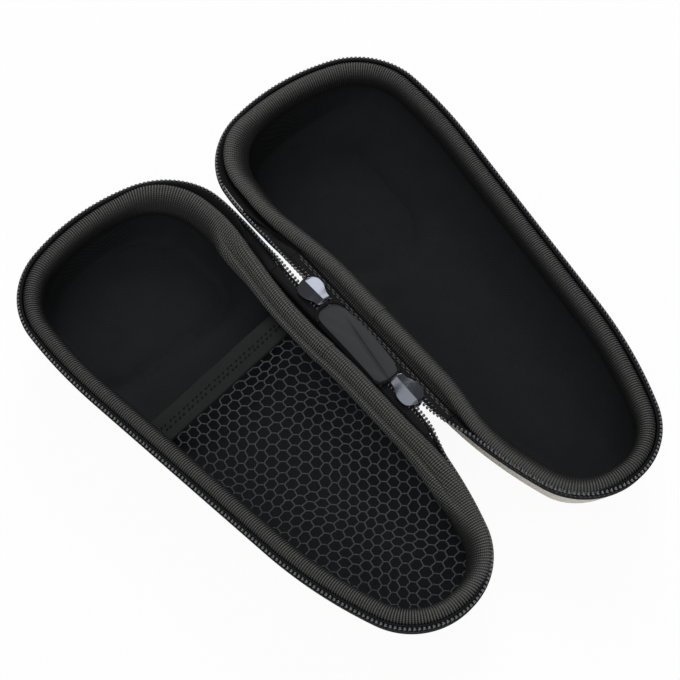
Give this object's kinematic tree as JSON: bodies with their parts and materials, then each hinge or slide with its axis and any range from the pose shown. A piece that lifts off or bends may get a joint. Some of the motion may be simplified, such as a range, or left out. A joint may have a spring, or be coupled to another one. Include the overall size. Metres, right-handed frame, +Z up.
{
  "type": "electric shaver hard case",
  "caption": "Hard zip case in two moulded halves that open flat on a cloth hinge, with a shaped cavity for a shaver and a net pocket in the lid.",
  "frame": {"origin": "middle of the open case's footprint, on the surface it lies on, under the hinge line", "axes": "+X from the hinge line to the base half, +Y along the hinge line to the wide end, +Z up"},
  "size_m": [0.1564, 0.1839, 0.0278],
  "materials": {
    "outer_cloth_foam": "pale warm grey woven cloth laminated on moulded EVA foam",
    "lining_cloth": "smooth black knitted lining bonded to the foam",
    "zip_tape": "black woven polyester zip tape",
    "coil_nylon": "black nylon monofilament coil",
    "ribbon_binding": "black grosgrain ribbon, ribs across its length",
    "elastic_band": "black woven elastic band",
    "net_mesh": "black knitted polyester net with six-sided holes",
    "satin_patch": "black satin nylon cloth",
    "dark_nickel": "die-cast zinc with dark nickel plating"
  },
  "bodies": {
    "base": {"base_shell": "outer_cloth_foam", "base_lining": "lining_cloth", "base_zip_tape": "zip_tape", "base_zip_teeth": "coil_nylon", "base_rim_binding": "ribbon_binding", "base_hinge_gusset": "zip_tape"},
    "lid": {"lid_shell": "outer_cloth_foam", "lid_lining": "lining_cloth", "lid_zip_tape": "zip_tape", "lid_zip_teeth": "coil_nylon", "lid_rim_binding": "ribbon_binding", "lid_hinge_gusset": "zip_tape", "pocket_band": "elastic_band", "pocket_mesh": "net_mesh"},
    "hinge_strip": {"hinge_patch_inner": "satin_patch", "hinge_patch_outer": "satin_patch", "hinge_tape_base_side": "zip_tape", "hinge_tape_lid_side": "zip_tape", "hinge_teeth_base_side": "coil_nylon", "hinge_teeth_lid_side": "coil_nylon"},
    "slider_wide": {"slider_wide": "dark_nickel"},
    "slider_nose": {"slider_nose": "dark_nickel"},
    "pull_wide": {"slider_wide_pull": "dark_nickel"},
    "pull_nose": {"slider_nose_pull": "dark_nickel"}
  },
  "joints": [
    {"name": "lid_hinge", "type": "hinge", "parent": "base", "child": "lid", "pos_m": [0, 0, 0.027], "axis": [0, 1, 0], "range_deg": [0, 180]},
    {"name": "strip_fold", "type": "hinge", "parent": "base", "child": "hinge_strip", "pos_m": [0, 0, 0.027], "axis": [0, 1, 0], "range_deg": [0, 90]},
    {"name": "slider_wide_run", "type": "slide", "parent": "hinge_strip", "child": "slider_wide", "axis": [0, 1, 0], "range_m": [0, 0.008]},
    {"name": "slider_nose_run", "type": "slide", "parent": "hinge_strip", "child": "slider_nose", "axis": [0, -1, 0], "range_m": [0, 0.008]},
    {"name": "pull_wide_swing", "type": "hinge", "parent": "slider_wide", "child": "pull_wide", "pos_m": [0, 0.02015, 0.0228], "axis": [1, 0, 0], "range_deg": [-75, 75]},
    {"name": "pull_nose_swing", "type": "hinge", "parent": "slider_nose", "child": "pull_nose", "pos_m": [0, -0.02555, 0.0228], "axis": [1, 0, 0], "range_deg": [-75, 75]}
  ],
  "couplings": [
    {"joint": "strip_fold", "follows": "lid_hinge", "ratio": 0.5}
  ]
}
